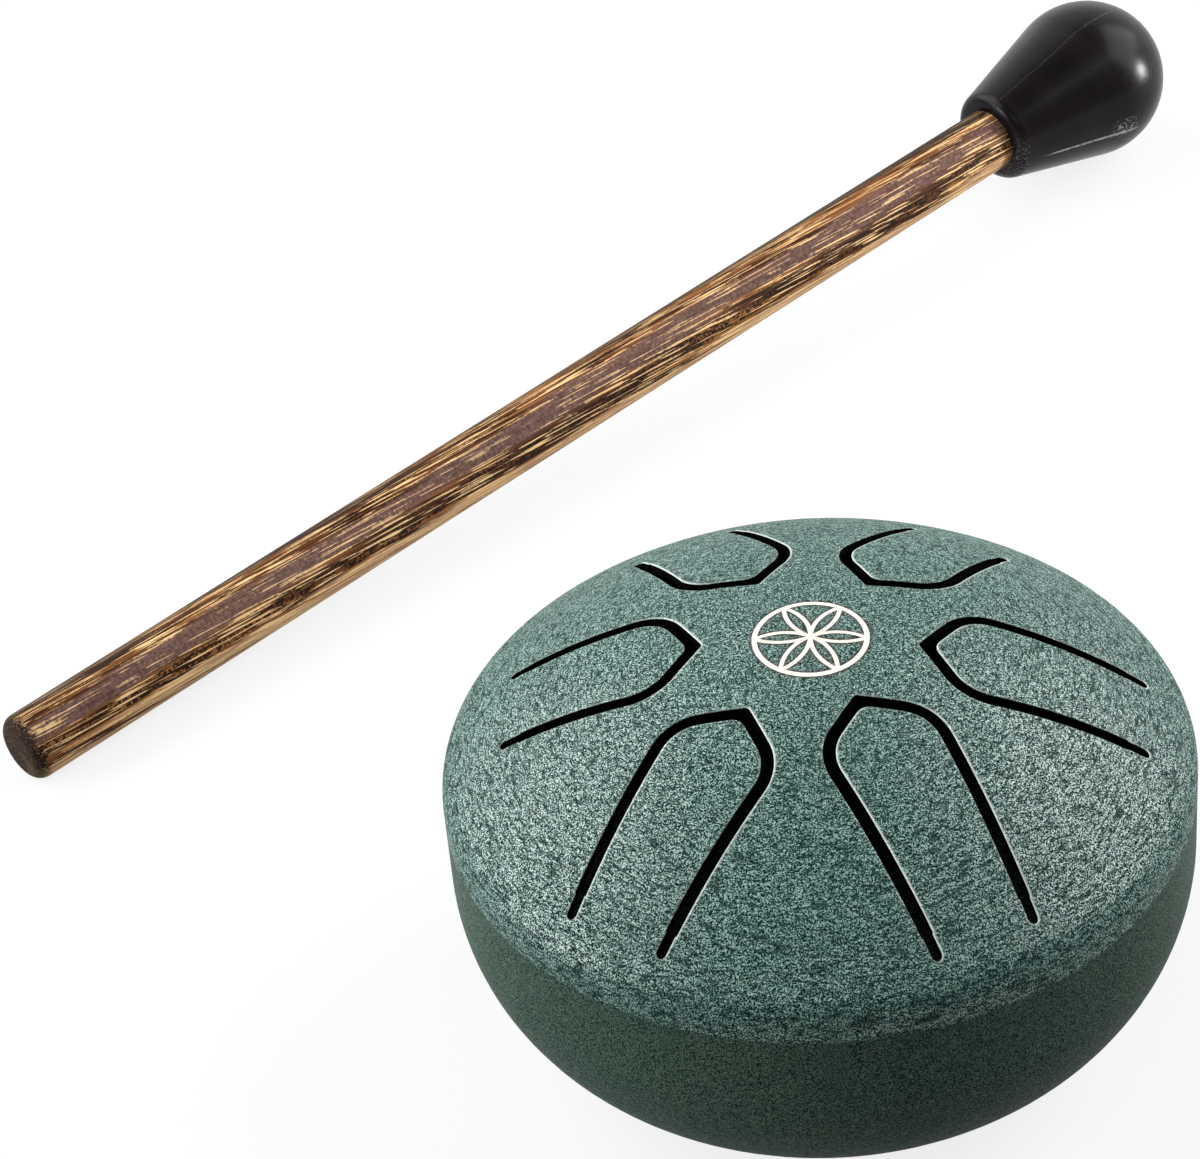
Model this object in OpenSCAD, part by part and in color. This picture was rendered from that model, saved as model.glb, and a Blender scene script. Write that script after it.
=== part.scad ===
// Pocket steel tongue drum with its mallet.
// Frame: origin at the centre of the sound hole in the bottom's outer face, +Z up, front at -Y.

/* [Shell] */
// Outside diameter of the drum
drum_d = 80; // [60:1:110]
// Thickness of the pressed steel sheet
sheet = 1; // [0.8:0.1:1.2]
// Height of the crown above the bottom's flat face
crown_h = 48.8; // [48:0.1:50]
// Radius of the domed playing face
dome_r = 59.4; // [58:0.1:62]
// Radius of the rounded shoulder between dome and side wall
shoulder_r = 4; // [3:0.1:5]
// Radius of the bowl's turn from side wall to bottom
bowl_r = 22; // [18:0.5:22.5]
// Height of the seam between the two pressings
seam_z = 24; // [23:0.1:26]
// Height of the necked lip that the upper pressing slips over
lip_h = 4; // [2:0.5:5]
// Diameter of the sound hole in the bottom
sound_hole_d = 20; // [14:1:24]

/* [Tongues] */
// Width of the cut round each tongue
kerf = 1.35; // [0.9:0.05:1.5]
// Width of a tongue at its shoulders, from cut centre to cut centre
tongue_w = 12.8; // [11.5:0.1:13.5]
// Angle by which each side of a tongue closes towards its root
side_taper = 2.6; // [1:0.1:3]
// Half of the angle of the blunt point at the tip
point_half_angle = 57.5; // [52:0.5:62]
// Corner radius between a tongue's side and its tip
tongue_corner_r = 5; // [4:0.1:6]
// Radius of the tongue's blunt point
tongue_point_r = 1.6; // [1:0.1:2.5]
// Radius of the sharper point at the outer edge of the cut
cut_point_r = 0.6; // [0.3:0.1:1.5]
// Bearing of the first tongue, counted from +X
first_bearing = -4.5; // [-15:0.5:15]
// Distance of the right tongue's point from the drum's axis
tip_right = 11.9; // [10:0.1:13]
// Distance of the point of the tongue at the back right
tip_back_right = 12; // [10:0.1:13]
// Distance of the point of the tongue at the back left
tip_back_left = 12.7; // [10:0.1:13]
// Distance of the left tongue's point
tip_left = 12.1; // [10:0.1:13]
// Distance of the point of the tongue at the front left
tip_front_left = 12.4; // [10:0.1:13]
// Distance of the point of the tongue at the front right
tip_front_right = 10.5; // [10:0.1:13]
// Root distance of the right tongue
root_right = 34.8; // [33:0.1:36]
// Root distance of the tongue at the back right
root_back_right = 30.7; // [29:0.1:36]
// Root distance of the tongue at the back left
root_back_left = 30.8; // [29:0.1:36]
// Root distance of the left tongue
root_left = 32.8; // [31:0.1:36]
// Root distance of the tongue at the front left
root_front_left = 36.8; // [33:0.1:37]
// Root distance of the tongue at the front right
root_front_right = 36.8; // [33:0.1:37]
// Length of the narrower end of each cut at the root
root_end_len = 2.2; // [1:0.1:3]
// Share of the cut's width that its root end has
root_end_share = 0.82; // [0.7:0.02:1]

/* [Feet] */
// Distance from the drum's axis to each foot
foot_circle_r = 21; // [19:0.5:23]
// Diameter of a foot's pad
foot_d = 8; // [6:0.5:10]
// Height of the pads below the bottom's flat face
foot_drop = 2.5; // [1.5:0.1:4]
// Edge radius at the ground side of a pad
foot_edge_r = 0.8; // [0.4:0.1:1.2]
// Diameter of a foot's neck in its hole
foot_neck_d = 3.6; // [3:0.1:4.2]
// Diameter of the barb behind the sheet
foot_barb_d = 5.2; // [4.8:0.1:6]
// Diameter of the barb's nose
foot_nose_d = 2.6; // [2:0.1:3]
// Height of the barb
foot_barb_h = 2.4; // [1.5:0.1:3]
// Play between the sheet's inner face and the barb
barb_play = 0.1; // [0.05:0.05:0.2]

/* [Mallet] */
// Diameter of the stick
stick_d = 8.7; // [7:0.1:10]
// Length of the stick from its tail to the head
stick_len = 170; // [120:1:200]
// Edge radius at the stick's tail
tail_edge_r = 1.6; // [0.5:0.1:2]
// Length of the stick inside the head
socket_depth = 20; // [12:0.5:22]
// Bevel on the stick's end inside the head
stick_bevel = 0.8; // [0.4:0.1:1.2]
// Largest diameter of the head
head_d = 22.2; // [20:0.2:26]
// Length of the head
head_len = 30.9; // [28:0.1:34]
// Diameter of the head's collar at the stick
collar_d = 13.4; // [12.6:0.1:15]
// Edge radius of the collar
collar_edge_r = 1.7; // [1:0.1:2]
// Where the stick's tail lies, along X
tail_x = -96; // [-120:1:-80]
// Where the stick's tail lies, along Y
tail_y = 44; // [40:1:60]
// Bearing of the stick on the ground, from its tail
mallet_bearing = 42.6; // [35:0.1:50]

/* [Hidden] */
$fn = 96;
// How far cuts run past the faces that they open
over = drum_d / 160;
drum_r = drum_d / 2;
seat_share = 0.5;

// Section of the playing pressing: dome, rounded shoulder and skirt
dome_z = crown_h - dome_r;
shoulder_at = drum_r - shoulder_r;
shoulder_z = dome_z + sqrt(pow(dome_r - shoulder_r, 2) - pow(shoulder_at, 2));
shoulder_way = [shoulder_at, shoulder_z - dome_z] / (dome_r - shoulder_r);
far_z = 2 * dome_r;

// Section of the bottom pressing: side wall, bowl turn and flat
turn_low = max(0, bowl_r - seam_z);
flat_r = drum_r - sqrt(bowl_r * bowl_r - turn_low * turn_low);
lip_root = 2 * sheet;

// Lines of a tongue's outline from its point at the origin, on the centre of its cut
chamfer_normal = [-sin(point_half_angle), cos(point_half_angle)];
side_normal = [sin(side_taper), cos(side_taper)];
corner_at = [tongue_w / 2 / tan(point_half_angle), tongue_w / 2];
corner_centre = meet(
  -tongue_corner_r * chamfer_normal, point_half_angle,
  corner_at - tongue_corner_r * side_normal, -side_taper);
corner_below = [corner_centre[0], -corner_centre[1]];
corner_steps = 9;
point_steps = 4;
root_end_w = kerf * root_end_share;
tongue_turns = [0, 61.3, 120.3, 179.9, 239.2, 299.9];
tips = [tip_right, tip_back_right, tip_back_left, tip_left, tip_front_left, tip_front_right];
roots = [root_right, root_back_right, root_back_left, root_left, root_front_left, root_front_right];
cut_low = shoulder_z;

// Places of the feet
foot_bearings = [90, 210, 330];
foot_barb_r = foot_barb_d / 2;
barb_z = bowl_height(foot_circle_r + foot_barb_r, sheet) + barb_play;
pad_top = bowl_height(foot_circle_r + foot_d / 2, 0) + over;
neck_len = foot_drop * seat_share + barb_z + min(over, foot_barb_h / 2);

// Rest of the mallet: the tail's rounded edge and the head's widest ring both touch the ground
stick_r = stick_d / 2;
head_r = head_d / 2;
bulb_at = head_len - head_r;
rest_run = stick_len + bulb_at - tail_edge_r;
rest_drop = stick_r - tail_edge_r;
mallet_tilt = asin((head_r - tail_edge_r) / sqrt(rest_run * rest_run + rest_drop * rest_drop))
  - atan2(rest_drop, rest_run);
tail_z = -foot_drop + rest_drop * cos(mallet_tilt) + tail_edge_r - tail_edge_r * sin(mallet_tilt);

// Section of the head: collar edge, straight flank and round end
collar_edge_at = [collar_d / 2 - collar_edge_r, collar_edge_r];
flank_run = [-collar_edge_at[0], bulb_at - collar_edge_at[1]];
flank_len = sqrt(flank_run[0] * flank_run[0] + flank_run[1] * flank_run[1]);
flank_angle = atan2(flank_run[1], flank_run[0]) - asin((head_r - collar_edge_r) / flank_len);
flank_normal = [sin(flank_angle), -cos(flank_angle)];

// Point where the line through p on bearing a crosses the line through q on bearing b
function meet(p, a, q, b) =
  p + ((q[0] - p[0]) * sin(b) - (q[1] - p[1]) * cos(b)) / sin(b - a) * [cos(a), sin(a)];

// Points of an arc round c from bearing a to bearing b
function arc(c, r, a, b, steps) =
  [for (i = [0:steps]) c + r * [cos(a + (b - a) * i / steps), sin(a + (b - a) * i / steps)]];

// Height of the bottom pressing's face at a distance r from the axis
function bowl_height(r, inset) =
  bowl_r - sqrt(pow(bowl_r - inset, 2) - pow(max(0, r - flat_r), 2));

// Half width of a tongue's outline at a distance x along it, grown by g
function side_at(x, g) =
  corner_at[1] + g * side_normal[1] - (x - corner_at[0] - g * side_normal[0]) * tan(side_taper);

// Solid half section of the playing pressing, set in by one wall
module dome_section(inset) {
  intersection() {
    translate([0, dome_z]) circle(dome_r - inset);
    polygon([[0, dome_z], [0, dome_z] + far_z * shoulder_way, [0, far_z]]);
  }
  translate([shoulder_at, shoulder_z]) circle(shoulder_r - inset);
  polygon([
    [0, seam_z - over], [drum_r - inset, seam_z - over],
    [drum_r - inset, shoulder_z], [shoulder_at, shoulder_z]]);
}

// Solid half section of the bottom pressing, set in by one wall
module bowl_section(inset, top) {
  intersection() {
    translate([flat_r, bowl_r]) circle(bowl_r - inset);
    translate([flat_r, inset]) square([bowl_r, min(bowl_r, top) - inset]);
  }
  translate([0, inset]) square([flat_r, top - inset]);
  if (top > bowl_r) translate([0, bowl_r]) square([drum_r - inset, top - bowl_r]);
}

// Half section of the necked lip, which stays inside the playing pressing's inner face
module lip_section() {
  intersection() {
    translate([drum_r - 2 * sheet, seam_z - lip_root]) square([sheet, lip_root + lip_h]);
    union() {
      dome_section(sheet);
      translate([0, seam_z - lip_root]) square([drum_r - sheet, lip_root]);
    }
  }
}

// One tongue's outline from its point, grown by g, running out to the distance reach
module tongue_outline(g, reach, point_r) {
  point_centre = [(point_r - g) / sin(point_half_angle), 0];
  lower = concat(
    arc(point_centre, point_r, 180, 270 - point_half_angle, point_steps),
    arc(corner_below, tongue_corner_r + g, 270 - point_half_angle, 270 + side_taper, corner_steps),
    [[reach, -side_at(reach, g)]]);
  polygon(concat(lower, [for (i = [len(lower) - 1:-1:1]) [lower[i][0], -lower[i][1]]]));
}

// The cut round a tongue of the given length, with a narrower rounded end at each side of its root
module tongue_cut(length) {
  difference() {
    tongue_outline(kerf / 2, length - root_end_len, cut_point_r);
    tongue_outline(-kerf / 2, length, tongue_point_r);
  }
  for (s = [0, 1])
    mirror([0, s]) translate([length, side_at(length, 0)]) rotate(-side_taper) {
      translate([-root_end_len - over, -root_end_w / 2]) square([root_end_len + over - root_end_w / 2, root_end_w]);
      translate([-root_end_w / 2, 0]) circle(root_end_w / 2);
    }
}

module top_shell() color([0.22, 0.38, 0.35]) {
  difference() {
    rotate_extrude() difference() {
      intersection() {
        dome_section(0);
        translate([0, seam_z]) square([drum_d, far_z]);
      }
      dome_section(sheet);
    }
    for (i = [0:5])
      rotate(first_bearing + tongue_turns[i]) translate([tips[i], 0, cut_low])
        linear_extrude(far_z) tongue_cut(roots[i] - tips[i]);
  }
}

module bottom_shell() color([0.16, 0.27, 0.24]) {
  difference() {
    rotate_extrude() {
      difference() {
        bowl_section(0, seam_z);
        bowl_section(sheet, seam_z + over);
      }
      lip_section();
    }
    translate([0, 0, -over]) cylinder(d = sound_hole_d, h = sheet + 2 * over);
    for (a = foot_bearings)
      rotate(a) translate([foot_circle_r, 0, -over]) cylinder(d = foot_neck_d, h = barb_z + sheet + over);
  }
}

// One push-in foot: pad seated on the bowl, neck through the sheet, barb behind it
module foot(bearing) color([0.08, 0.08, 0.08]) {
  rotate(bearing) {
    difference() {
      translate([foot_circle_r, 0, -foot_drop]) rotate_extrude() {
        translate([0, foot_edge_r]) square([foot_d / 2, foot_drop + pad_top - foot_edge_r]);
        square([foot_d / 2 - foot_edge_r, foot_edge_r]);
        intersection() {
          translate([foot_d / 2 - foot_edge_r, foot_edge_r]) circle(foot_edge_r);
          square([foot_d, foot_edge_r]);
        }
      }
      rotate_extrude() bowl_section(0, seam_z);
    }
    translate([foot_circle_r, 0, -foot_drop * seat_share]) cylinder(d = foot_neck_d, h = neck_len);
    translate([foot_circle_r, 0, barb_z]) cylinder(d1 = foot_barb_d, d2 = foot_nose_d, h = foot_barb_h);
  }
}

module foot_back() foot(foot_bearings[0]);

module foot_front_left() foot(foot_bearings[1]);

module foot_front_right() foot(foot_bearings[2]);

// Puts a piece that stands on the origin along +Z onto the mallet's resting axis
module on_mallet() {
  translate([tail_x, tail_y, tail_z]) rotate([0, 0, mallet_bearing]) rotate([0, 90 - mallet_tilt, 0]) children();
}

module mallet_stick() color([0.36, 0.24, 0.16]) on_mallet() {
  rotate_extrude() {
    intersection() {
      translate([stick_r - tail_edge_r, tail_edge_r]) circle(tail_edge_r);
      square([stick_r, tail_edge_r]);
    }
    square([stick_r - tail_edge_r, tail_edge_r]);
    translate([0, tail_edge_r]) square([stick_r, stick_len + socket_depth - stick_bevel - tail_edge_r]);
    polygon([
      [0, stick_len + socket_depth - stick_bevel], [stick_r, stick_len + socket_depth - stick_bevel],
      [stick_r - stick_bevel, stick_len + socket_depth], [0, stick_len + socket_depth]]);
  }
}

module mallet_head() color([0.05, 0.05, 0.06]) on_mallet() translate([0, 0, stick_len]) {
  rotate_extrude() difference() {
    union() {
      intersection() {
        translate([0, bulb_at]) circle(head_r);
        square([head_r, head_len]);
      }
      translate(collar_edge_at) circle(collar_edge_r);
      polygon([
        [0, 0], [collar_edge_at[0], 0], collar_edge_at, collar_edge_at + collar_edge_r * flank_normal,
        [0, bulb_at] + head_r * flank_normal, [0, bulb_at]]);
    }
    translate([0, -over]) square([stick_r, socket_depth + over - stick_bevel]);
    polygon([
      [0, socket_depth - stick_bevel - over], [stick_r, socket_depth - stick_bevel - over],
      [stick_r, socket_depth - stick_bevel], [stick_r - stick_bevel, socket_depth], [0, socket_depth]]);
  }
}

top_shell();
bottom_shell();
foot_back();
foot_front_left();
foot_front_right();
mallet_stick();
mallet_head();
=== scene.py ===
import math

import bpy
import numpy as np
from mathutils import Euler, Matrix, Vector
from mathutils.geometry import delaunay_2d_cdt


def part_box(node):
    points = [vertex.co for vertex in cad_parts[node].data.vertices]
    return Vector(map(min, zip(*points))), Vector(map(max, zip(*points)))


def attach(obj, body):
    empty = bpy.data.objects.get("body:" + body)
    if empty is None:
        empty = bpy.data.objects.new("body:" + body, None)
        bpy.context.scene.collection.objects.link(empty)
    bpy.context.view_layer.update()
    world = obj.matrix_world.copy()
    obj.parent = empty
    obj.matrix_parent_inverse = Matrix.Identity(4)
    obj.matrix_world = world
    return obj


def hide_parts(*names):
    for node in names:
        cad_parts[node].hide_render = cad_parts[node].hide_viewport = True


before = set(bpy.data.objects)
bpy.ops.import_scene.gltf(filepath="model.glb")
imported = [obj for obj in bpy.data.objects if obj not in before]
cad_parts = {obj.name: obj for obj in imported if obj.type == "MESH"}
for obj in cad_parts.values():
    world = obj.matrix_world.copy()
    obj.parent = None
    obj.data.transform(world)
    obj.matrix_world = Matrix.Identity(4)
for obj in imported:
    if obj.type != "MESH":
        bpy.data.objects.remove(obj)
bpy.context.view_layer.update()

# The upper pressing: the domed steel sheet that is played on, with its rounded
# shoulder and skirt. Six tongues are cut in it by slits, and the whole is coated
# in a green powder that sets in a leathery grain with fine pale flecks.
mm = 0.001


class Wire:
    """An output socket that Python's operators carry on by Math nodes."""

    def __init__(self, graph, socket):
        self.graph = graph
        self.socket = socket

    def __add__(self, other):
        return self.graph.math("ADD", self, other)

    __radd__ = __add__

    def __sub__(self, other):
        return self.graph.math("SUBTRACT", self, other)

    def __rsub__(self, other):
        return self.graph.math("SUBTRACT", other, self)

    def __mul__(self, other):
        return self.graph.math("MULTIPLY", self, other)

    __rmul__ = __mul__

    def __abs__(self):
        return self.graph.math("ABSOLUTE", self)

    def least(self, other):
        return self.graph.math("MINIMUM", self, other)

    def most(self, other):
        return self.graph.math("MAXIMUM", self, other)

    def over(self, limit):
        return self.graph.math("GREATER_THAN", self, limit)

    def ease(self, low, high, start=0.0, end=1.0):
        """A smooth step from start to end as the value goes from low to high."""
        return self.graph.node(
            "ShaderNodeMapRange", {"interpolation_type": "SMOOTHSTEP"},
            {"Value": self, "From Min": low, "From Max": high, "To Min": start, "To Max": end})


class Graph:
    """A node tree in the making. node() is the one way in which nodes come into it."""

    def __init__(self, tree):
        self.tree = tree

    def node(self, kind, settings=None, sockets=None, out=0):
        made = self.tree.nodes.new(kind)
        for name, value in (settings or {}).items():
            setattr(made, name, value)
        for key, value in (sockets or {}).items():
            if isinstance(value, Wire):
                self.tree.links.new(value.socket, made.inputs[key])
            else:
                made.inputs[key].default_value = value
        return Wire(self, made.outputs[out]) if len(made.outputs) else made

    def math(self, operation, *values):
        return self.node("ShaderNodeMath", {"operation": operation}, dict(enumerate(values)))

    def vector(self, operation, *values, out="Vector"):
        return self.node("ShaderNodeVectorMath", {"operation": operation},
                         dict(enumerate(values)), out)

    def place(self, scale):
        """Object coordinates, in steps of the given length."""
        at = self.node("ShaderNodeTexCoord", out="Object")
        return self.node("ShaderNodeVectorMath", {"operation": "SCALE"},
                         {0: at, "Scale": 1.0 / scale})

    def split(self, vector):
        """The three parts of a vector."""
        parts = self.node("ShaderNodeSeparateXYZ", None, {"Vector": vector}).socket.node
        return [Wire(self, socket) for socket in parts.outputs]

    def blend(self, factor, first, second):
        """A colour between two colours or colour wires."""
        colours = [c if isinstance(c, Wire) else (*c, 1.0) for c in (first, second)]
        return self.node("ShaderNodeMix", {"data_type": "RGBA"},
                         {"Factor": factor, 6: colours[0], 7: colours[1]}, out=2)

    def noise(self, at, scale, detail, out=0):
        return self.node("ShaderNodeTexNoise", None,
                         {"Vector": at, "Scale": scale, "Detail": detail}, out)

    def bump(self, strength, distance, height):
        return self.node("ShaderNodeBump", None,
                         {"Strength": strength, "Distance": distance, "Height": height})


def finish(name, make):
    """A material whose surface is what make() returns from its graph."""
    made = bpy.data.materials.new(name)
    made.use_nodes = True
    made.node_tree.nodes.clear()
    graph = Graph(made.node_tree)
    graph.node("ShaderNodeOutputMaterial", None, {"Surface": make(graph)})
    return made


crown_z = 48.8
grain_ends_z, grain_fades = 29.6, 0.25
crease_stretch = 14.0
flower_r = 5.85
flower_turn = math.radians(-3.7)
flower_drop = 0.7
ring_line, petal_line = 0.55, 0.46
far_off = 9.0


def green_coat(g):
    at = g.place(mm)
    x, y, z = g.split(at)
    flat = g.node("ShaderNodeCombineXYZ", None, {"X": x, "Y": y, "Z": 0.0})

    def from_point(angle, radius):
        point = (radius * math.cos(angle), radius * math.sin(angle), 0.0)
        return g.vector("DISTANCE", flat, point, out="Value")

    # The leather: short creases that run round the drum, in a fine pebbled grain. It
    # ends below the shoulder, and the wall under it is smoother and darker.
    from_axis = from_point(0.0, 0.0)
    round_the_drum = g.node("ShaderNodeCombineXYZ", None, {
        "X": from_axis - z, "Y": g.math("ARCTAN2", x, y * -1.0) * crease_stretch, "Z": 0.0})
    drift = g.vector("MULTIPLY_ADD", g.noise(round_the_drum, 1.3, 2.0, out="Color"),
                     (0.9, 0.9, 0.0), round_the_drum)
    crease = g.node("ShaderNodeTexVoronoi", {"feature": "DISTANCE_TO_EDGE"},
                    {"Vector": drift, "Scale": 1.15}, out="Distance").ease(0.02, 0.15, 1.0, 0.0)
    crease = crease * g.noise(round_the_drum, 1.3, 2.0).ease(0.35, 0.6, 0.15, 1.0)
    face = z.ease(grain_ends_z - grain_fades, grain_ends_z + grain_fades)
    dust = g.noise(at, 6.2, 1.0)
    dashes = g.noise(round_the_drum, 3.0, 1.0)
    broad = g.noise(at, 0.07, 2.0)

    # The flower: a six-petalled figure of compass arcs in a ring, engraved with a
    # laser down to the bare steel, with scorched edges. near is the distance from
    # its lines, and far_off takes what lies outside the figure out of reach.
    petals = abs(from_point(flower_turn, flower_r) - flower_r)
    for k in range(1, 6):
        petals = petals.least(abs(from_point(flower_turn + k * math.pi / 3, flower_r) - flower_r))
    petals = petals - petal_line / 2 + from_axis.over(flower_r) * far_off
    near = petals.least(abs(from_axis - flower_r) - ring_line / 2)
    near = near + (dust - 0.5) * 0.14 + z.over(crown_z - flower_drop) * -far_off + far_off
    cut = near.ease(-0.04, 0.04, 1.0, 0.0)
    scorch = near.ease(0.1, 0.42, 1.0, 0.0)

    light = dust * 0.9 + dashes * 0.1
    green = g.blend(light.ease(0.36, 0.52), (0.0, 0.009, 0.007), (0.015, 0.094, 0.077))
    green = g.blend(light.ease(0.49, 0.63), green, (0.28, 0.47, 0.41))
    # The creases are painted near black: painted shade in their grooves, on top of their bump.
    green = g.blend(crease * 0.8, green, (0.0, 0.012, 0.01))
    wall = g.blend(light.ease(0.4, 0.58), (0.0, 0.01, 0.007), (0.08, 0.135, 0.1))
    green = g.blend(face, wall, green)
    green = g.blend(broad.ease(0.3, 0.7, 0.0, 0.2), green, (0.02, 0.07, 0.06))
    green = g.blend(scorch * dust.ease(0.35, 0.6, 0.45, 1.0), green, (0.02, 0.007, 0.005))
    # The slit rims are painted pale: bare steel where the coat is worn, and a painted highlight on
    # the edges that face the left.
    wear_and_highlight = g.node("ShaderNodeAttribute", {"attribute_name": "bare_and_highlit_edge"}, out="Fac")
    green = g.blend(wear_and_highlight, green, (0.8, 0.88, 0.84))
    steel = g.blend(dust.ease(0.35, 0.6), (0.72, 0.66, 0.55), (0.9, 0.86, 0.78))
    height = light * (face * 0.9 + 0.3) - crease * face * 0.4 - cut * 0.6
    shine = light.ease(0.44, 0.58) * (face * 0.8 + 0.2)
    return g.node("ShaderNodeBsdfPrincipled", None, {
        "Base Color": g.blend(cut, green, steel), "Metallic": cut * 0.7, "Roughness": 0.5,
        "Specular IOR Level": 0.03, "Coat Weight": shine * (1.0 - crease * 0.9),
        "Coat Roughness": 0.5, "Coat IOR": 2.2, "Normal": g.bump(1.0, 0.16 * mm, height)})


# The drum's inside and the slits' walls: painted shade, a near-black finish for the dark within
# the drum.
def shaded_inside(g):
    return g.node("ShaderNodeBsdfPrincipled", None, {
        "Base Color": (0.0012, 0.0014, 0.0014, 1.0), "Roughness": 0.9, "Specular IOR Level": 0.02})


sheet = 1.0
drum_r = 40.0
seam_z = 24.0
dome_r = 59.4
dome_z = crown_z - dome_r
shoulder_r = 4.0
shoulder_at = drum_r - shoulder_r
shoulder_z = dome_z + math.sqrt((dome_r - shoulder_r) ** 2 - shoulder_at ** 2)
dome_ends = shoulder_at * dome_r / (dome_r - shoulder_r)
dome_ends_inside = shoulder_at * (dome_r - sheet) / (dome_r - shoulder_r)

kerf = 1.35
root_end_len = 2.2
root_end_half = 0.82 * kerf / 2
point_angle = math.radians(57.5)
side_taper = math.radians(2.6)
corner_r, tongue_point_r, cut_point_r = 5.0, 1.6, 0.6
tongue_half = 12.8 / 2
# Each tongue's bearing in degrees, and its tip and its root from the axis.
tongues = ((-4.5, 11.9, 34.8), (56.8, 12.0, 30.7), (115.8, 12.7, 30.8),
           (175.4, 12.1, 32.8), (234.7, 12.4, 36.8), (295.4, 10.5, 36.8))
# The sheet's edge is rounded along the slits. Each loop that the mesh has there
# stands off the edge by its first figure, and is painted as pale as its second says:
# bare of coat, and a painted highlight where the edge faces the left.
rounding = 0.09
rims = ((0.0, 1.0), (0.015, 1.0), (0.04, 1.0), (rounding, 0.6), (0.28, 0.0))
bare_all_round = 0.12

right_angle = math.pi / 2
edge_step = 0.45
round_steps = 360
ring_steps, ring_gap, ring_spacing = 53, 0.35, 0.75
grid_gap = 0.25
bend_steps, skirt_steps = 8, 5
weld, edge_slack = 1e-7, 0.001
sharp_angle = math.radians(50)


def way(angle):
    return Vector((math.cos(angle), math.sin(angle)))


def crossing(p, a, q, b):
    """Where the line through p on bearing a meets the line through q on bearing b."""
    gap = q - p
    return p + way(a) * ((gap.x * math.sin(b) - gap.y * math.cos(b)) / math.sin(b - a))


corner = Vector((tongue_half / math.tan(point_angle), tongue_half))
chamfer_out = way(point_angle + right_angle)
side_out = way(right_angle - side_taper)
corner_centre = crossing(-corner_r * chamfer_out, point_angle,
                         corner - corner_r * side_out, -side_taper)


def side_at(x, grow=0.0):
    """A point of the tongue's upper side, moved out by grow."""
    start = corner + grow * side_out
    return Vector((x, start.y - (x - start.x) * math.tan(side_taper)))


def arc(centre, radius, start, end, steps):
    return [centre + radius * way(start + (end - start) * i / steps) for i in range(steps + 1)]


def half_tongue(grow, reach):
    """The upper half of a tongue's outline, from its point to the distance reach."""
    point_r = cut_point_r + grow - kerf / 2 if grow > 0.0 else tongue_point_r + grow + kerf / 2
    point_centre = Vector(((point_r - grow) / math.sin(point_angle), 0.0))
    return (arc(point_centre, point_r, math.pi, point_angle + right_angle, steps=8)
            + arc(corner_centre, corner_r + grow, point_angle + right_angle,
                  right_angle - side_taper, steps=20)
            + [side_at(reach, grow)])


def resampled(loop):
    """The closed loop with its long runs cut into steps."""
    made = []
    for p, q in zip(loop, loop[1:] + loop[:1]):
        pieces = max(1, round((q - p).length / edge_step))
        made += [p.lerp(q, i / pieces) for i in range(pieces)]
    return made


def slit_edge(length, out):
    """The closed edge of the slit round a tongue, moved onto the sheet by out."""
    half, neck = kerf / 2 + out, root_end_half + out
    step_x, cap_x = length - root_end_len + out, length - root_end_half
    upper = (half_tongue(half, step_x) + [side_at(step_x, neck)]
             + arc(side_at(cap_x), neck, right_angle - side_taper, -right_angle - side_taper,
                   steps=12)
             + [side_at(step_x, -neck)] + half_tongue(-half, step_x)[::-1])
    lower = [Vector((p.x, -p.y)) for p in upper[-2:0:-1]]
    return resampled(upper + lower)


def outer_z(r):
    return dome_z + np.sqrt(dome_r ** 2 - r ** 2)


def inner_z(r):
    """Height of the sheet's inner face, dome and shoulder."""
    dome = dome_z + np.sqrt((dome_r - sheet) ** 2 - r ** 2)
    turn = shoulder_r - sheet
    bend = shoulder_z + np.sqrt(np.maximum(turn ** 2 - (r - shoulder_at) ** 2, 0.0))
    return np.where(r < dome_ends_inside, dome, bend)


def inside(points, loop):
    """Which of the points lie inside the closed loop."""
    x, y = points[:, 0][:, None], points[:, 1][:, None]
    ax, ay = loop[:, 0], loop[:, 1]
    bx, by = np.roll(ax, -1), np.roll(ay, -1)
    crosses = (ay > y) != (by > y)
    with np.errstate(divide="ignore", invalid="ignore"):
        at = ax + (y - ay) * (bx - ax) / (by - ay)
    return (crosses & (x < at)).sum(1) % 2 == 1


def rim_wear_and_highlight(loop, bare_and_lit):
    """How pale each point of a loop is painted: a little bare coat all round, and a painted
    highlight most where the sheet's edge faces the left.
    """
    made = []
    for before, after in zip(loop[-1:] + loop[:-1], loop[1:] + loop[:1]):
        highlight_from_left = max(0.0, (before.y - after.y) / (after - before).length)
        made.append(bare_and_lit * (bare_all_round + (1.0 - bare_all_round) * highlight_from_left))
    return made


def dome_grid(slits):
    """Rings of points over the dome's plan, clear of the slits."""
    grid = [(0.0, 0.0)]
    for k in range(1, ring_steps + 1):
        r = (dome_ends - ring_gap) * k / ring_steps
        count = min(round_steps, max(6, int(2 * math.pi * r / ring_spacing)))
        grid += [tuple(r * way(2 * math.pi * (i + 0.5 * (k % 2)) / count)) for i in range(count)]
    grid = np.array(grid)
    for _, last_rim in slits:
        grid = grid[~inside(grid, last_rim)]
        away = np.hypot(grid[:, :1] - last_rim[:, 0], grid[:, 1:] - last_rim[:, 1])
        grid = grid[away.min(1) > grid_gap]
    return grid


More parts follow.
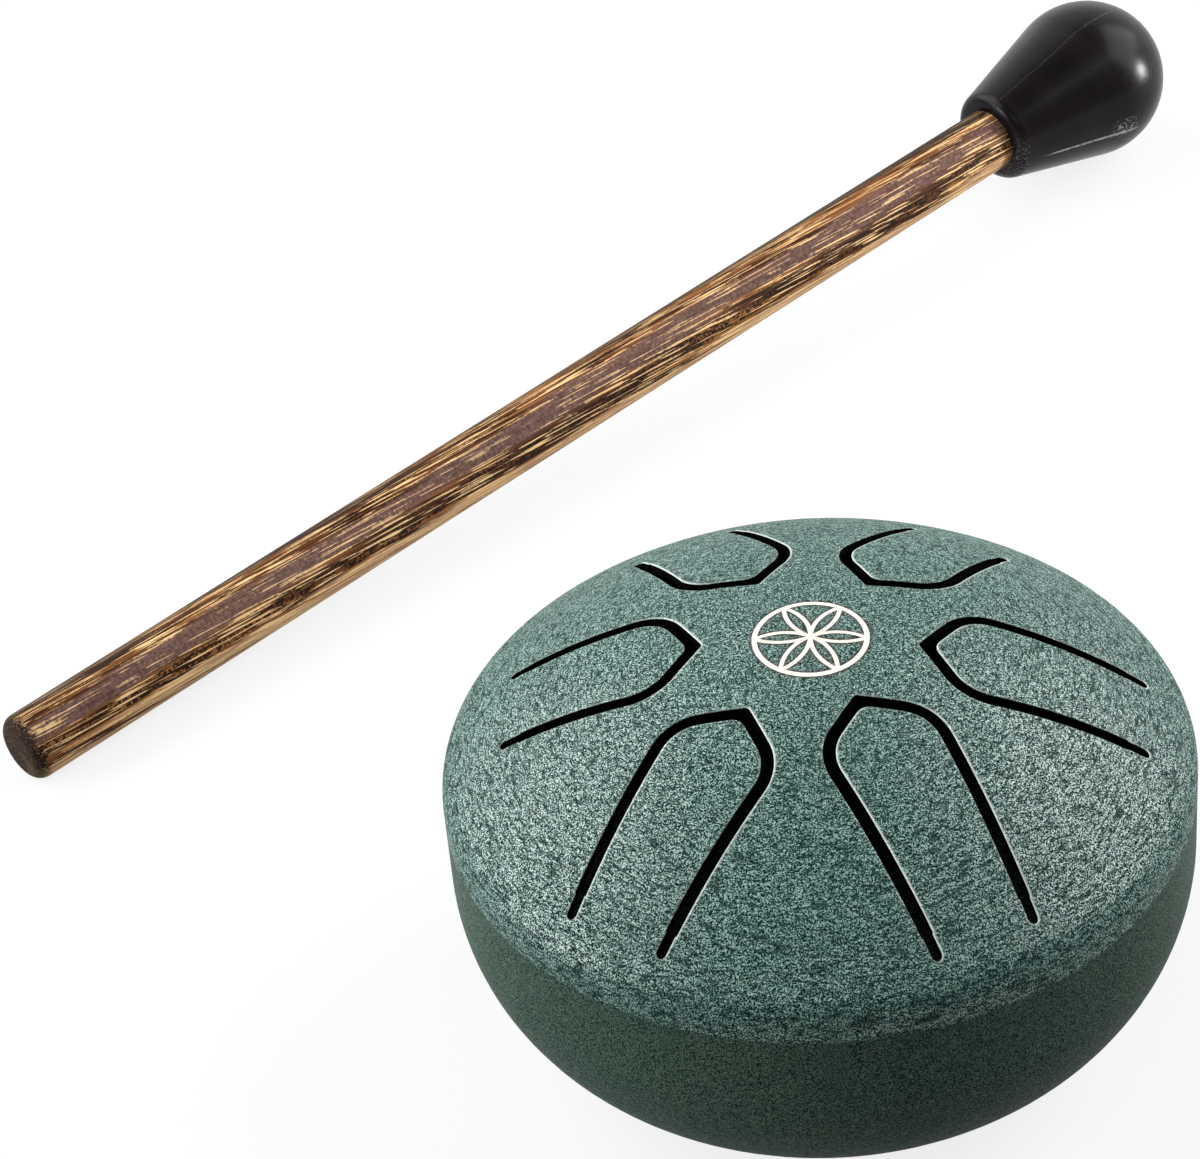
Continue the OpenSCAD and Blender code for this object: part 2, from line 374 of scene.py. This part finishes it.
def cut_plan():
    """The dome seen from above, in triangles round its slits, with each point's drop, and its wear
    and painted highlight.
    """
    flat, ties, drops, wear_and_highlight, slits = [], [], [], [], []

    def add_loop(loop, drop, loop_wear_and_highlight):
        first, count = len(flat), len(loop)
        flat.extend(loop)
        ties.extend((first + i, first + (i + 1) % count) for i in range(count))
        drops.extend([drop] * count)
        wear_and_highlight.extend(loop_wear_and_highlight)

    for bearing, tip, root in tongues:
        turn = Matrix.Rotation(math.radians(bearing), 2)
        loops = [[turn @ (p + Vector((tip, 0.0))) for p in slit_edge(root - tip, out)]
                 for out, _ in rims]
        for loop, (out, bare_and_lit) in zip(loops, rims):
            gap = max(rounding - out, 0.0)
            add_loop(loop, rounding - math.sqrt(rounding ** 2 - gap ** 2), rim_wear_and_highlight(loop, bare_and_lit))
        slits.append((np.array(loops[0]), np.array(loops[-1])))
    add_loop([dome_ends * way(2 * math.pi * i / round_steps) for i in range(round_steps)],
             0.0, [0.0] * round_steps)
    grid = dome_grid(slits)
    flat += [Vector(p) for p in grid]
    drops += [0.0] * len(grid)
    wear_and_highlight += [0.0] * len(grid)

    plan, _, faces, origins, _, _ = delaunay_2d_cdt(flat, ties, [], 0, weld)
    plan, faces = np.array([tuple(p) for p in plan]), np.array(faces)
    drops = np.array([max((drops[i] for i in o), default=0.0) for o in origins])
    wear_and_highlight = [max((wear_and_highlight[i] for i in o), default=0.0) for o in origins]
    for edge, _ in slits:
        faces = faces[~inside(plan[faces].mean(1), edge)]
    return plan, faces, drops, wear_and_highlight


def skirt_profile(inset):
    """Radius and height down the rounded shoulder and the skirt, inset from the outside."""
    turn = shoulder_r - inset
    lean = math.acos(min(1.0, (dome_ends - shoulder_at) / turn))
    leans = [lean * k / bend_steps for k in range(bend_steps - 1, -1, -1)]
    return ([(shoulder_at + turn * math.cos(a), shoulder_z + turn * math.sin(a)) for a in leans]
            + [(drum_r - inset, shoulder_z + (seam_z - shoulder_z) * k / skirt_steps)
               for k in range(1, skirt_steps + 1)])


def pressed_top():
    """The pressing as one closed mesh: its dome, lifted from the plan, its slits and its skirt."""
    plan, faces, drops, wear_and_highlight = cut_plan()
    count = len(plan)
    r = np.hypot(plan[:, 0], plan[:, 1])
    points = np.vstack([np.c_[plan, outer_z(r) - drops], np.c_[plan, inner_z(r)]])
    shape = [tuple(f) for f in faces] + [tuple(f[::-1] + count) for f in faces]
    # Faces inside the drum and on the slit walls take the near-black painted shade.
    dark = [False] * len(faces) + [True] * len(faces)

    # A side that only one triangle has is the top of a slit's wall, or part of the
    # dome's round edge, from which the shoulder goes on.
    sides = dict.fromkeys((f[i - 1], f[i]) for f in faces for i in (1, 2, 0))
    dome_edge = {}
    for p, q in sides:
        if (q, p) in sides:
            continue
        if min(r[p], r[q]) > dome_ends - edge_slack:
            dome_edge[p] = q
        else:
            shape.append((q, p, p + count, q + count))
            dark.append(True)
    bearing = {p: math.atan2(plan[p][1], plan[p][0]) for p in dome_edge}
    order = [min(dome_edge, key=lambda p: abs(bearing[p]))]
    while dome_edge[order[-1]] != order[0]:
        order.append(dome_edge[order[-1]])

    def strip(upper, lower, is_shaded_inside):
        for i in range(len(order)):
            j = (i + 1) % len(order)
            shape.append((upper[i], lower[i], lower[j], upper[j]))
            dark.append(is_shaded_inside)

    lanes = []
    for inset, base in ((0.0, 0), (sheet, count)):
        lanes.append([[p + base for p in order]])
        for radius, z in skirt_profile(inset):
            ring = [(radius * math.cos(bearing[p]), radius * math.sin(bearing[p]), z)
                    for p in order]
            lanes[-1].append(range(len(points), len(points) + len(ring)))
            points = np.vstack([points, ring])
    outer, inner = lanes
    for upper, lower in zip(outer, outer[1:]):
        strip(upper, lower, False)
    for upper, lower in zip(inner, inner[1:]):
        strip(lower, upper, True)
    strip(outer[-1], inner[-1], False)

    mesh = bpy.data.meshes.new("green_top")
    mesh.from_pydata((points * mm).tolist(), [], shape)
    mesh.polygons.foreach_set("material_index", np.array(dark, dtype=np.int32))
    mesh.polygons.foreach_set("use_smooth", [True] * len(shape))
    # How pale each point is painted at the slit rims: coat wear and a painted highlight.
    bare_and_lit = mesh.attributes.new("bare_and_highlit_edge", "FLOAT", "POINT")
    bare_and_lit.data.foreach_set("value", wear_and_highlight + [0.0] * (len(points) - count))
    mesh.set_sharp_from_angle(angle=sharp_angle)
    mesh.validate()
    return mesh


def placed(name, data):
    """An object of the scene that holds the given mesh, lamp or lens."""
    made = bpy.data.objects.new(name, data)
    bpy.context.scene.collection.objects.link(made)
    return made


coat = finish("green_coat", green_coat)
green_top = placed("green_top", pressed_top())
green_top.data.materials.append(coat)
green_top.data.materials.append(finish("shaded_inside", shaded_inside))
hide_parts("top_shell")
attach(green_top, "drum")


# The lower pressing: a bowl of the same sheet and coat. Its necked lip goes up
# inside the skirt, the seam is closed and coated over, and a round sound hole
# opens the middle of its flat bottom.
def dressed(node, material):
    """Gives an imported solid its finish."""
    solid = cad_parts[node]
    solid.data.materials.clear()
    solid.data.materials.append(material)


dressed("bottom_shell", coat)


# Three moulded rubber feet, each pushed through a hole of the bowl until its
# barb holds behind the sheet.
def rubber_black(g, broad):
    return g.blend(broad.ease(0.3, 0.7), (0.004, 0.003, 0.004), (0.008, 0.006, 0.008))


def black_rubber(g):
    at = g.place(mm)
    fine = g.noise(at, 2.2, 3.0)
    broad = g.noise(at, 0.12, 2.0)
    return g.node("ShaderNodeBsdfPrincipled", None, {
        "Base Color": rubber_black(g, broad), "Roughness": 0.27 + broad * 0.12,
        "Specular IOR Level": 0.15, "Normal": g.bump(0.35, 0.03 * mm, fine)})


rubber = finish("black_rubber", black_rubber)
for foot in ("foot_back", "foot_front_left", "foot_front_right"):
    dressed(foot, rubber)

# The mallet's stick: a turned rod of dark palm wood, brown with long pale fibres,
# thinly lacquered.
tail_at = Vector((-96.0, 44.0, 1.85)) * mm
stick_bearing, stick_tilt = math.radians(42.6), math.radians(2.04)
# The fibres turn slowly round the stick and are some 36 times as long as they are thick.
fibre_twist = -0.0145
fibre_scale = (0.028, 1.0, 1.0)


def along_mallet(g):
    """Millimetres along the stick from its tail, then to its back and up."""
    at = g.node("ShaderNodeTexCoord", out="Object")
    along = g.node("ShaderNodeMapping", {"vector_type": "TEXTURE"}, {
        "Vector": at, "Location": tail_at, "Rotation": Euler((0.0, -stick_tilt, stick_bearing)),
        "Scale": (mm, mm, mm)})
    return along, *g.split(along)


def palm_wood(g):
    along, run, back, up = along_mallet(g)
    fibre = g.node("ShaderNodeVectorRotate", {"rotation_type": "X_AXIS"},
                   {"Vector": along, "Angle": run * fibre_twist})
    fibre = g.vector("MULTIPLY", fibre, fibre_scale)
    thin = g.noise(fibre, 4.2, 2.0)
    dark = g.noise(fibre, 3.0, 2.0)
    tint = g.noise(fibre, 0.7, 1.0)
    cross = g.noise(along, 2.2, 2.0)

    # Lanes along the stick: a smooth plum one, a speckled one, and a pale lower edge that is
    # painted light.
    lane = g.math("SINE", g.math("ARCTAN2", back * -1.0, up) - 0.7) + (tint - 0.5) * 0.7
    smooth = lane.ease(-0.5, -0.3) * lane.ease(0.12, 0.32, 1.0, 0.0)
    speckled = lane.ease(0.28, 0.42) * lane.ease(0.7, 0.82, 1.0, 0.0)
    painted_light_edge = lane.ease(0.82, 0.95)

    brown = g.blend(tint.ease(0.42, 0.58), (0.09, 0.03, 0.01), (0.25, 0.1, 0.03))
    plum = g.blend(cross.ease(0.4, 0.6), (0.1, 0.056, 0.046), (0.17, 0.1, 0.085))
    brown = g.blend(smooth * 0.9, brown, plum)
    brown = g.blend(dark.ease(0.48, 0.58) * (1.0 - smooth * 0.75), brown, (0.024, 0.009, 0.004))
    brown = g.blend(speckled * cross.ease(0.44, 0.52), brown, (0.014, 0.007, 0.004))
    # The lower edge is painted pale: painted light along that side of the stick.
    brown = g.blend(painted_light_edge * 0.7, brown, (0.5, 0.3, 0.18))
    pale = thin + painted_light_edge * 0.06 - smooth * 0.04 - speckled * 0.02 + (cross - 0.5) * 0.12
    pale = pale.ease(0.54, 0.6)
    colour = g.blend(pale, brown, (0.76, 0.51, 0.25))
    # The tail end and the stick's far upper edge are painted near black: painted shade.
    shaded_tail_and_edge = run.ease(0.3, 1.8, 1.0, 0.0).most(lane.ease(-1.0, -0.62, 1.0, 0.0))
    return g.node("ShaderNodeBsdfPrincipled", None, {
        "Base Color": g.blend(shaded_tail_and_edge * 0.9, colour, (0.012, 0.008, 0.006)), "Roughness": 0.55,
        "Specular IOR Level": 0.05, "Normal": g.bump(0.5, 0.05 * mm, pale - dark * 0.5)})


dressed("mallet_stick", finish("palm_wood", palm_wood))


# The mallet's head: one moulding of black rubber with a blind hole that grips
# the stick. A parting line of the mould runs over its top, and its collar is scuffed.
stick_len = 170.0


def moulded_rubber(g):
    along, run, back, up = along_mallet(g)
    run = run - stick_len
    fine = g.noise(along, 2.2, 3.0)
    broad = g.noise(along, 0.12, 2.0)
    scratch = g.noise(g.vector("MULTIPLY", along, (0.6, 1.6, 1.6)), 3.2, 2.0)
    turned = g.math("ARCTAN2", back * -1.0, up)
    parting = abs(turned - 0.2 + (broad - 0.5) * 0.1).ease(0.003, 0.014, 1.0, 0.0)

    # The wear: scuffs on the collar's lower corner and in a patch where the head is
    # widest. The pale line between them is a painted highlight along the lower edge.
    collar = run.ease(0.3, 1.6, 1.0, 0.0) * turned.ease(1.0, 1.9)
    patch = run.ease(14.0, 16.0) * run.ease(17.0, 19.5, 1.0, 0.0)
    patch = patch * abs(turned - 1.8).ease(0.05, 0.2, 1.0, 0.0)
    highlight_line = abs(turned - 1.86 - (run - 12.0) * 0.004).ease(0.006, 0.03, 1.0, 0.0)
    highlight_line = highlight_line * run.ease(3.0, 7.0) * run.ease(17.0, 20.0, 1.0, 0.0)
    wear_and_highlight = ((collar + patch) * scratch.ease(0.5, 0.72)).most(highlight_line * scratch.ease(0.3, 0.5))

    colour = g.blend(parting * fine.ease(0.5, 0.66), rubber_black(g, broad), (0.04, 0.034, 0.036))
    height = fine * 0.3 + parting * 2.0 + scratch * wear_and_highlight
    return g.node("ShaderNodeBsdfPrincipled", None, {
        "Base Color": g.blend(wear_and_highlight, colour, (0.4, 0.37, 0.4)),
        "Roughness": 0.2 + broad * 0.12 + wear_and_highlight * 0.3, "Specular IOR Level": 0.12,
        "Normal": g.bump(0.6, 0.05 * mm, height)})


dressed("mallet_head", finish("moulded_rubber", moulded_rubber))

# The set: a plain pale floor and a white room. The floor is near white to the
# camera and grey to the pieces, and painted dark right under the drum's sound hole:
# a painted shadow there.
floor_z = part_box("foot_back")[0].z
floor_half = 4.0


def seen_rays(g, behind):
    """1 for the camera's rays, and behind for those that a surface has mirrored."""
    rays = g.node("ShaderNodeLightPath").socket.node
    seen, mirrored, through = (Wire(g, rays.outputs[name]) for name in (
        "Is Camera Ray", "Is Glossy Ray", "Is Transmission Ray"))
    return seen + (mirrored + through) * behind


def to_back(g, out):
    """How far to the back a point or a direction is."""
    return g.split(g.node("ShaderNodeTexCoord", out=out))[1]


def pale_ground(g):
    away = g.vector("LENGTH", g.node("ShaderNodeTexCoord", out="Object"), out="Value")
    # Near the drum's axis the floor loses its white: a painted shadow under the bowl.
    seen = seen_rays(g, to_back(g, "Object").ease(-0.12, 0.1, 0.1, 1.0)) * away.ease(0.012, 0.022)
    lit = g.node("ShaderNodeBsdfDiffuse", None, {
        "Color": g.blend(seen, (0.18, 0.18, 0.18), (0.9, 0.9, 0.9))})
    white = g.node("ShaderNodeEmission", None, {"Color": (1.0, 1.0, 1.0, 1.0), "Strength": 1.0})
    return g.node("ShaderNodeMixShader", None,
                  {0: seen * away.ease(0.3, 0.9, 0.8, 1.0), 1: lit, 2: white})


ground_mesh = bpy.data.meshes.new("ground")
ground_mesh.from_pydata(
    [(x * floor_half, y * floor_half, floor_z) for x, y in ((-1, -1), (1, -1), (1, 1), (-1, 1))],
    [], [(0, 1, 2, 3)])
ground_mesh.materials.append(finish("pale_ground", pale_ground))
placed("ground", ground_mesh)

world = bpy.data.worlds.new("studio")
world.use_nodes = True
world.node_tree.nodes.clear()
sky = Graph(world.node_tree)
brightness = seen_rays(sky, to_back(sky, "Generated").ease(0.1, 0.7, 0.0, 1.6)) * 0.9 + 0.1
sky.node("ShaderNodeOutputWorld", None, {"Surface": sky.node(
    "ShaderNodeBackground", None, {"Color": (1.0, 1.0, 1.0, 1.0), "Strength": brightness})})
bpy.context.scene.world = world


def softbox(name, at, aim, size, power, spread=180):
    lamp = bpy.data.lights.new(name, "AREA")
    lamp.spread = math.radians(spread)
    lamp.shape = "RECTANGLE"
    lamp.size, lamp.size_y = size
    lamp.energy = power
    box = placed(name, lamp)
    box.location = at
    box.rotation_euler = (Vector(aim) - Vector(at)).to_track_quat("-Z", "Y").to_euler()


drum_middle = (0.0, 0.0, 0.03)
softbox("light_left", (-0.62, 0.24, 0.52), drum_middle, (0.8, 0.7), 8.3)
softbox("light_right", (0.62, 0.22, 0.52), drum_middle, (0.8, 0.6), 7.6)
softbox("light_front", (0.0, -0.5, 0.6), drum_middle, (0.5, 0.3), 0.6)
softbox("light_low_left", (-0.85, -0.25, 0.22), (0.0, 0.05, 0.02), (0.3, 0.35), 4.2)
softbox("light_low_right", (0.85, 0.18, 0.1), (0.04, 0.18, 0.02), (0.12, 0.2), 0.2, spread=24)

# The camera: a long lens above the front of the drum, placed by fitting the
# drum's outline and slits, then turned off the drum to frame the pair.
aim_z = 28.5 * mm
lift, reach_back = math.radians(41.213), 427.38 * mm
yaw, pitch, roll = (math.radians(a) for a in (2.97, 3.089, 3.019))
sensor_mm = 36.0
focal_px, frame_px = 3994.3, 1200
eye = Vector((0.0, -reach_back * math.cos(lift), reach_back * math.sin(lift)))
forward = -eye.normalized()
right = Vector((1.0, 0.0, 0.0))
up = right.cross(forward)
forward, right = (Matrix.Rotation(yaw, 3, up) @ v for v in (forward, right))
forward, up = (Matrix.Rotation(pitch, 3, right) @ v for v in (forward, up))
right, up = (Matrix.Rotation(roll, 3, forward) @ v for v in (right, up))
lens = bpy.data.cameras.new("camera")
lens.sensor_width = sensor_mm
lens.lens = focal_px / frame_px * sensor_mm
lens.clip_start, lens.clip_end = 0.01, 20.0
camera = placed("camera", lens)
camera.matrix_world = Matrix.Translation(eye + Vector((0.0, 0.0, aim_z))) @ Matrix(
    (right, up, -forward)).transposed().to_4x4()
bpy.context.scene.camera = camera
bpy.context.scene.view_settings.view_transform = "Standard"
